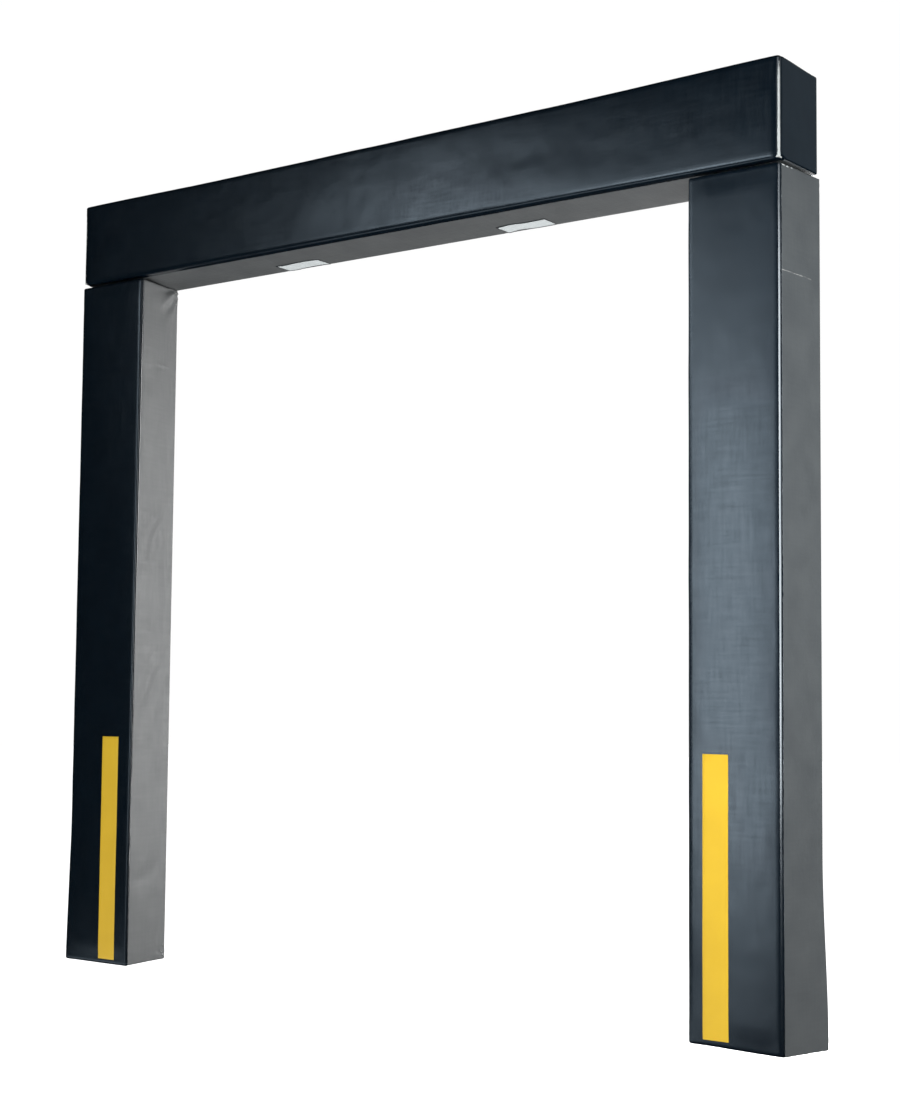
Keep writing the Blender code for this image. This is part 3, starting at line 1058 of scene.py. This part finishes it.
def foam_slab(pad, node, back):
    """One slab, shaped like its CAD node and a little smaller. The back one swells into the bays."""
    low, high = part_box(node)
    start_y = low.y + (0.0 if back else FACE_INSET)
    lines = [
        np.array(even_lines(FOAM_INSET, pad.width - FOAM_INSET, FOAM_CELL)),
        np.array(even_lines(start_y, high.y, FOAM_CELL)),
        np.array(even_lines(FOAM_INSET, pad.length - FOAM_INSET, FOAM_CELL)),
    ]
    points, cells = box_mesh(lines)
    a, y, l = points.T.copy()
    rough = wander(points, 30.0, 40)
    taper_share = (pad.back_width / pad.width - 1) * (y + pad.depth) / pad.depth
    points[:, 0] = a * (1 + taper_share)
    sides = (a < FOAM_INSET + 1e-6) | (a > pad.width - FOAM_INSET - 1e-6)
    points[:, 0] += np.where(sides, -np.sign(a - pad.width / 2) * SAW_MARK * (1 + rough), 0)
    if back:
        on_back = y > high.y - 1e-6
        near, far = LINING + TIMBER_WIDTH, pad.back_width - LINING - TIMBER_WIDTH
        swell = np.zeros(len(a))
        for start, stop in bays(pad):
            share_l = np.clip((l - start) / (stop - start), 0, 1)
            share_a = np.clip((points[:, 0] - near) / (far - near), 0, 1)
            swell += (np.sin(np.pi * share_l) * np.sin(np.pi * share_a)) ** 0.5
        points[:, 1] += on_back * (FOAM_SWELL * swell * (0.8 + 0.2 * rough) - SAW_MARK)
    if np.linalg.det(pad.basis) < 0:
        cells = cells[:, ::-1]
    piece = mesh_object(f"{node}_slab", pad.to_room(points), cells, FOAM)
    bevel = piece.modifiers.new("cut_edges", "BEVEL")
    bevel.width = 0.003
    bevel.segments = 2
    bevel.limit_method = "ANGLE"
    bevel.angle_limit = 1.0
    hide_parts(node)
    in_bodies(piece)
    return piece


for pad in PADS:
    foam_slab(pad, f"{pad.name}_back_foam", True)
    foam_slab(pad, f"{pad.name}_front_foam", False)
print("foam slabs: 6")

# %% [markdown]
# ## Stitches and staples
# The seams are lock-stitched with black bonded thread, and the covers are stapled to the timber with
# wide-crown staples. Both are bent wires of a few points, so one function that sweeps a small polygon
# along many short paths makes them all, and each pad's stitches are one piece.


# %% Swept wires
def swept(name, paths, radius, sides, skin):
    """One mesh of round wires, each along its own path of points."""
    points, faces = [], []
    angles = np.arange(sides) * 2 * np.pi / sides
    for path in paths:
        path = np.asarray(path, float)
        ahead = np.gradient(path, axis=0)
        ahead /= np.linalg.norm(ahead, axis=1, keepdims=True)
        helper = np.array([0.31, 0.87, 0.38])
        one = np.cross(ahead, helper)
        one /= np.linalg.norm(one, axis=1, keepdims=True)
        two = np.cross(ahead, one)
        ring = np.cos(angles)[None, :, None] * one[:, None] + np.sin(angles)[None, :, None] * two[:, None]
        start = len(points)
        points.extend((path[:, None] + ring * radius).reshape(-1, 3))
        for k in range(len(path) - 1):
            for s in range(sides):
                t = (s + 1) % sides
                row, after = start + k * sides, start + (k + 1) * sides
                faces.append((row + s, row + t, after + t, after + s))
        faces.append(tuple(start + s for s in range(sides))[::-1])
        faces.append(tuple(start + (len(path) - 1) * sides + s for s in range(sides)))
    mesh = bpy.data.meshes.new(name)
    mesh.from_pydata([tuple(p) for p in points], [], faces)
    mesh.shade_smooth()
    mesh.materials.append(skin)
    made = bpy.data.objects.new(name, mesh)
    bpy.context.scene.collection.objects.link(made)
    return made


print("wire helper ready")

# %% [markdown]
# Each stitch is a short arc whose ends go into the fabric. A row of them could be an array along a curve,
# but the rows follow the puckered fabric, so each stitch is placed on the bag's own points along the
# seam.

# %% Stitches
STITCH_PITCH = 0.0085
STITCH_LENGTH = 0.0060
THREAD_RADIUS = 0.00055
STITCH_SETBACK = 0.0055  # of a row of stitches from the seam
END_SETBACK = 0.004  # the same on the head pad's ends
ROW_INSET = 0.012  # of a row's ends from the panel's ends


def row_of_points(bag, wall, y):
    """The bag's points and outward directions along one grid line of a wall, in order."""
    lines = np.unique(bag.raw[bag.on(wall), 1])
    y = lines[np.abs(lines - y).argmin()]
    chosen = np.nonzero(bag.on(wall) & (np.abs(bag.raw[:, 1] - y) < 1e-6))[0]
    key = bag.raw[chosen, 2] if wall in (OUTER, INNER) else bag.raw[chosen, 0]
    chosen = chosen[key.argsort()]
    return bag.points[chosen], bag.normals()[chosen]


def stitch_paths(points, outward, lift):
    """Short arcs along a row: each dives into the fabric at both ends."""
    steps = np.linalg.norm(np.diff(points, axis=0), axis=1)
    run = np.concatenate([[0], np.cumsum(steps)])
    paths = []
    for start in np.arange(ROW_INSET, run[-1] - ROW_INSET - STITCH_LENGTH, STITCH_PITCH):
        spots = np.linspace(start, start + STITCH_LENGTH, 4)
        place = np.stack([np.interp(spots, run, points[:, k]) for k in range(3)], axis=1)
        normal = np.stack([np.interp(spots, run, outward[:, k]) for k in range(3)], axis=1)
        height = lift + np.array([-0.0005, 0.0003, 0.0003, -0.0005])
        paths.append(place + normal * height[:, None])
    return paths


for pad in PADS:
    bag = BAGS[pad.name]
    paths = []
    for wall in (OUTER, INNER):
        paths += stitch_paths(*row_of_points(bag, wall, bag.side_seam - STITCH_SETBACK), FABRIC)
    end_row = bag.end_seam - (END_SETBACK if pad.name == "head" else STITCH_SETBACK)
    for wall in (NEAR, FAR):
        paths += stitch_paths(*row_of_points(bag, wall, end_row), FABRIC)
    paths = [pad.to_room(path) for path in paths]
    stitches = swept(f"{pad.name}_seam_stitches", paths, THREAD_RADIUS, 5, THREAD)
    in_bodies(stitches)
    print(pad.name, "stitches:", len(paths))

# %% [markdown]
# Each staple has a 12 mm crown and two short legs. They go every 75 mm along the flanges, closer at the
# ends, and a few hold the fabric to the side of the timber where it was gathered. At the front of each
# side pad's top edge, three stitches of pale cord close the cap by hand.

# %% Staples
CROWN = 0.012
LEG = 0.002
STAPLE_RADIUS = 0.0007
CORD_RADIUS = 0.0012
STAPLE_PITCH = 0.075
STAPLE_INSET = 0.019  # of a row of staples from the pad's edge
PROUD = 0.0004  # how far the middle of a staple is off the fabric's own line


def staple(middle, direction, outward):
    """The path of one staple: leg, crown, leg."""
    middle, direction, outward = (np.asarray(v, float) for v in (middle, direction, outward))
    direction = direction / np.linalg.norm(direction)
    half = CROWN / 2
    rise = STAPLE_RADIUS * 0.9
    offsets = [(-half, -LEG), (-half, rise * 0.2), (-half * 0.86, rise), (0, rise * 1.2),
               (half * 0.86, rise), (half, rise * 0.2), (half, -LEG)]
    return [middle + direction * along + outward * up for along, up in offsets]


def back_staples(pad):
    """Staples along the four flanges, at the wall."""
    found = []
    for place in np.arange(0.05, pad.length - 0.04, STAPLE_PITCH):
        tilt = 0.25 * math.sin(place * 37)
        for a in (STAPLE_INSET, pad.back_width - STAPLE_INSET):
            found.append(staple((a, PROUD, place), (tilt, 0, 1), (0, 1, 0)))
    for place in np.arange(0.06, pad.back_width - 0.05, STAPLE_PITCH * 0.8):
        for l in (STAPLE_INSET, pad.length - STAPLE_INSET):
            found.append(staple((place, PROUD, l), (1, 0, 0.1), (0, 1, 0)))
    return found


def side_staples(pad):
    """Staples on the sides of the timber near the pad's ends."""
    found = []
    spots = [(-0.012, 0.014, 0.5), (-0.022, 0.030, 0.9), (-0.010, 0.052, 0.2)]
    for wall in (0, 1):
        for y, from_end, tilt in spots:
            for end in (0, 1):
                l = pad.length - from_end if end else from_end
                width = pad.width + (pad.back_width - pad.width) * (y + pad.depth) / pad.depth
                a = width + PROUD if wall else -PROUD
                direction = (0, tilt, 1 if end else -1)
                found.append(staple((a, y, l), direction, (1 if wall else -1, 0, 0)))
    return found


def closing_cord(pad):
    """Three stitches of pale cord that close the top cap at the front of the outer side."""
    spots = [(-0.221, 0.005), (-0.197, 0.006), (-0.172, 0.005)]
    return [staple((-0.0014, y, pad.length - drop), (0, 1, -0.1), (-1, 0, 0)) for y, drop in spots]


for pad in PADS:
    paths = back_staples(pad) + side_staples(pad)
    piece = swept(f"{pad.name}_staples", [pad.to_room(path) for path in paths], STAPLE_RADIUS, 6, STAPLE)
    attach(piece, "root")
    print(pad.name, "staples:", len(paths))
    if pad.name != "head":
        paths = [pad.to_room(path) for path in closing_cord(pad)]
        closing = swept(f"{pad.name}_closing_cord", paths, CORD_RADIUS, 6, CORD)
        in_bodies(closing)

# %% [markdown]
# ## Guide stripes and vent patches
# A stripe is a strip of yellow fabric welded onto the wear face, so it takes the face's own shape: a grid
# is cast onto the face and given a thin body. A vent is a patch of open mesh sewn over a hole in the
# underside. Its long edges are a little wavy, because the mesh was sewn by hand onto slack fabric.


# %% Strips laid on fabric
def cast(tree, start, direction):
    """Where a ray from start meets the fabric."""
    return np.array(tree.ray_cast(Vector(start), Vector(direction))[0])


def laid_strip(name, skin, rows, columns, start_of, direction, lift, thickness, under):
    """A grid cast along direction onto the piece under it. start_of(u, v) gives each ray's start."""
    graph = bpy.context.evaluated_depsgraph_get()
    tree = BVHTree.FromObject(under, graph)
    points, cuts = [], []
    for u in rows:
        for v in columns:
            points.append(cast(tree, start_of(u, v), direction) - np.array(direction) * lift)
            cuts.append((u, v))
    cells = quads(len(rows), len(columns))
    points = np.array(points)
    corner = points[cells]
    normal = np.cross(corner[:, 1] - corner[:, 0], corner[:, 2] - corner[:, 0]).sum(axis=0)
    if normal @ np.array(direction) > 0:
        cells = cells[:, ::-1]
    piece = mesh_object(name, points, cells, skin, np.array(cuts)[cells])
    solid = piece.modifiers.new("fabric", "SOLIDIFY")
    solid.thickness = thickness
    solid.offset = 1.0
    bevel = piece.modifiers.new("worn_edge", "BEVEL")
    bevel.width = thickness * 0.35
    bevel.segments = 2
    bevel.limit_method = "ANGLE"
    bevel.angle_limit = 1.0
    return piece


for pad in PADS[:2]:
    wear = WEAR_FACES[pad.name]
    node = f"{pad.name}_guide_stripe"
    low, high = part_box(node)
    columns = even_lines(low.z, high.z, CELL)
    rows = even_lines(low.x, high.x, 0.011)
    piece = laid_strip(f"{node}_fabric", STRIPE, rows, columns, lambda x, z: (x, -1.0, z), (0, 1, 0),
                       0.0001, 0.0007, wear)
    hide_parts(node)
    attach(piece, pad.body)
    print(f"{node}: {high.x - low.x:.3f} x {high.z - low.z:.3f} m")

# %% [markdown]
# The vents are laid in the same way, from below. A thin dark cord of thread round the patch is its
# binding, and its darkness also stands in for the shade along the patch's cut edge, so it is partly
# painted shade. Without it the edge would look painted on.

# %% Vent patches
# a dark cord round each vent: binding thread, and painted shade along the patch's cut edge
BINDING_AND_SHADE_RADIUS = 0.0016
BINDING_AND_SHADE_DROP = 0.0011  # of its middle below the fabric
underside = bpy.data.objects["head_underside_cover_fabric"]
for seed, node in enumerate(VENT_NODES):
    low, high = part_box(node)
    rows, columns = even_lines(0.0, 1.0, 0.09), even_lines(0.0, 1.0, 0.03)
    size = high - low

    def wavy_start(u, v, low=low, size=size, seed=seed):
        """u goes across the patch and v along it, each from 0 to 1."""
        sway = 0.004 * math.sin(2 * math.pi * (v * 1.2 + 0.35 * seed)) + 0.0015 * math.sin(13 * v + seed)
        return (low.x + v * size.x, low.y + u * size.y + sway, low.z - 0.3)

    piece = laid_strip(f"{node}_mesh", VENT, rows, columns, wavy_start, (0, 0, 1),
                       0.0003, 0.0008, underside)
    layer = piece.data.uv_layers["cut"]
    scaled = np.zeros(len(layer.data) * 2, np.float32)
    layer.data.foreach_get("uv", scaled)
    scaled = scaled.reshape(-1, 2) * np.array([size.y, size.x])
    layer.data.foreach_set("uv", scaled.astype(np.float32).ravel())
    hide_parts(node)
    in_bodies(piece)

    tree = BVHTree.FromObject(underside, bpy.context.evaluated_depsgraph_get())
    border = [(u, 0.0) for u in np.linspace(0, 1, 11)] + [(1.0, v) for v in np.linspace(0, 1, 31)[1:]]
    border += [(u, 1.0) for u in np.linspace(1, 0, 11)[1:]] + [(0.0, v) for v in np.linspace(1, 0, 31)[1:]]
    drop = np.array([0, 0, BINDING_AND_SHADE_DROP])
    path = [cast(tree, wavy_start(u, v), (0, 0, 1)) - drop for u, v in border]
    # the cord is binding thread and painted shade at the patch's edge
    binding_and_shade = swept(f"{node}_binding", [path], BINDING_AND_SHADE_RADIUS, 6, THREAD)
    in_bodies(binding_and_shade)
    print(f"{node}: {size.x:.3f} x {size.y:.3f} m")

# %% [markdown]
# ## Studio
# Plain and soft: a pale floor that runs into a pale surround. A real studio would show up in the glossy
# faces as white sheets, so the surround is white where it is seen, dim in what it lights, and almost dark
# in reflections. That leaves the faces to the lights.


# %% Floor and surround
FLOOR_LEVEL = -0.55
FILL = 0.20  # how much the surround lights dull surfaces
MIRRORED = 0.006  # how bright it is in a glossy surface


def pale_floor():
    """A large pale sheet that isn't mirrored in the pads."""
    made, _, shader = new_material("studio_floor", (0.90, 0.90, 0.90), 0.9, 0.0)
    shader.inputs["Emission Color"].default_value = (1, 1, 1, 1)
    shader.inputs["Emission Strength"].default_value = 1.0
    bm = bmesh.new()
    bmesh.ops.create_grid(bm, x_segments=8, y_segments=8, size=40.0)
    bmesh.ops.translate(bm, vec=(0, 0, FLOOR_LEVEL), verts=bm.verts)
    mesh = bpy.data.meshes.new("studio_floor")
    bm.to_mesh(mesh)
    bm.free()
    mesh.materials.append(made)
    floor = bpy.data.objects.new("studio_floor", mesh)
    bpy.context.scene.collection.objects.link(floor)
    floor.visible_glossy = False
    return floor


def surround():
    """White where it is seen, dim in what it lights, and almost dark in what it is mirrored by."""
    world = bpy.data.worlds.new("studio")
    world.use_nodes = True
    tree = world.node_tree
    backdrop = tree.nodes["Background"]
    backdrop.inputs["Color"].default_value = (1, 1, 1, 1)
    path = tree.nodes.new("ShaderNodeLightPath")
    diffuse = math_node(tree, "MULTIPLY", path.outputs["Is Diffuse Ray"], FILL)
    strength = math_node(tree, "ADD", path.outputs["Is Camera Ray"], diffuse)
    tree.links.new(math_node(tree, "ADD", strength, MIRRORED), backdrop.inputs["Strength"])
    bpy.context.scene.world = world


pale_floor()
surround()
print("floor at", FLOOR_LEVEL)

# %% [markdown]
# Glossy vinyl shows its lights as long soft bands, so each light is placed by what it should do. The key
# comes from the right and draws the bright line down the right pad's rounded edge. Its beam is narrowed
# so that it stops short of the foot. Two tall panels far in front lie in the faces, one light stands
# behind the opening and grazes the left pad's inner side, and a low one brightens the underside.


# %% Lights
def area_light(name, place, target, size, power, colour=(1, 1, 1), beam=180):
    """A rectangular light that isn't seen itself. beam narrows it, in degrees."""
    data = bpy.data.lights.new(name, "AREA")
    data.shape = "RECTANGLE"
    data.size, data.size_y = size
    data.energy = power
    data.color = colour
    data.spread = math.radians(beam)
    light = bpy.data.objects.new(name, data)
    light.location = place
    light.rotation_euler = (Vector(target) - Vector(place)).to_track_quat("-Z", "Y").to_euler()
    bpy.context.scene.collection.objects.link(light)
    light.visible_camera = False
    return light


COOL = (0.70, 0.86, 1.0)
PALE = (0.86, 0.94, 1.0)
area_light("key", (3.7, -1.4, 1.75), (2.2, 1.2, 1.4), (2.9, 2.3), 89, PALE, 100)
area_light("upper_key", (3.7, -1.4, 3.75), (2.2, 1.2, 3.6), (3.4, 1.2), 10, PALE, 100)
area_light("face_panel", (-3.2, -8.0, 1.5), (0.0, -0.24, 1.3), (1.7, 3.8), 62, COOL)
area_light("face_halo", (-3.0, -8.3, 1.7), (0.0, -0.24, 1.3), (2.4, 6.2), 44, COOL)
area_light("head_panel", (-5.6, -8.0, 4.35), (0.2, -0.24, 2.6), (1.2, 2.0), 24, COOL)
area_light("head_halo", (-5.5, -8.3, 4.4), (0.2, -0.24, 2.6), (2.2, 3.0), 5, COOL)
area_light("edge_strip", (-1.5, -1.7, -0.5), (-1.5, -1.6, 2.6), (3.6, 1.5), 14, COOL)
area_light("opening", (0.6, 3.0, 1.40), (-1.25, -0.1, 1.35), (0.9, 3.3), 131)
area_light("end_glow", (3.6, 4.0, 4.0), (1.5, -0.1, 2.75), (2.5, 2.5), 4, COOL)
area_light("back_fill", (-3.0, 6.5, 4.0), (0, 0, 1.4), (5.0, 4.0), 80)

# %% [markdown]
# ## Camera
# The camera stands to the right of the opening, about a metre up, and looks a little upwards across it.
# Yaw, pitch and roll are turned into a frame of three directions, which is the camera's rotation.

# %% Camera
CAMERA_PLACE = Vector((4.162, -5.1965, 1.008))
YAW, PITCH, ROLL = (math.radians(d) for d in (37.87, 4.27, 0.55))
LENS = 62.1
forward = Vector((-math.sin(YAW) * math.cos(PITCH), math.cos(YAW) * math.cos(PITCH), math.sin(PITCH)))
right = forward.cross(Vector((0, 0, 1))).normalized()
up = right.cross(forward)
turned = math.cos(ROLL) * right + math.sin(ROLL) * up
up = math.cos(ROLL) * up - math.sin(ROLL) * right
right = turned
camera_data = bpy.data.cameras.new("camera")
camera_data.lens = LENS
camera = bpy.data.objects.new("camera", camera_data)
camera.matrix_world = Matrix.Translation(CAMERA_PLACE) @ Matrix((right, up, -forward)).transposed().to_4x4()
bpy.context.scene.collection.objects.link(camera)
bpy.context.scene.camera = camera
bpy.context.scene.view_settings.view_transform = "Standard"
print("camera at", tuple(round(c, 3) for c in CAMERA_PLACE))
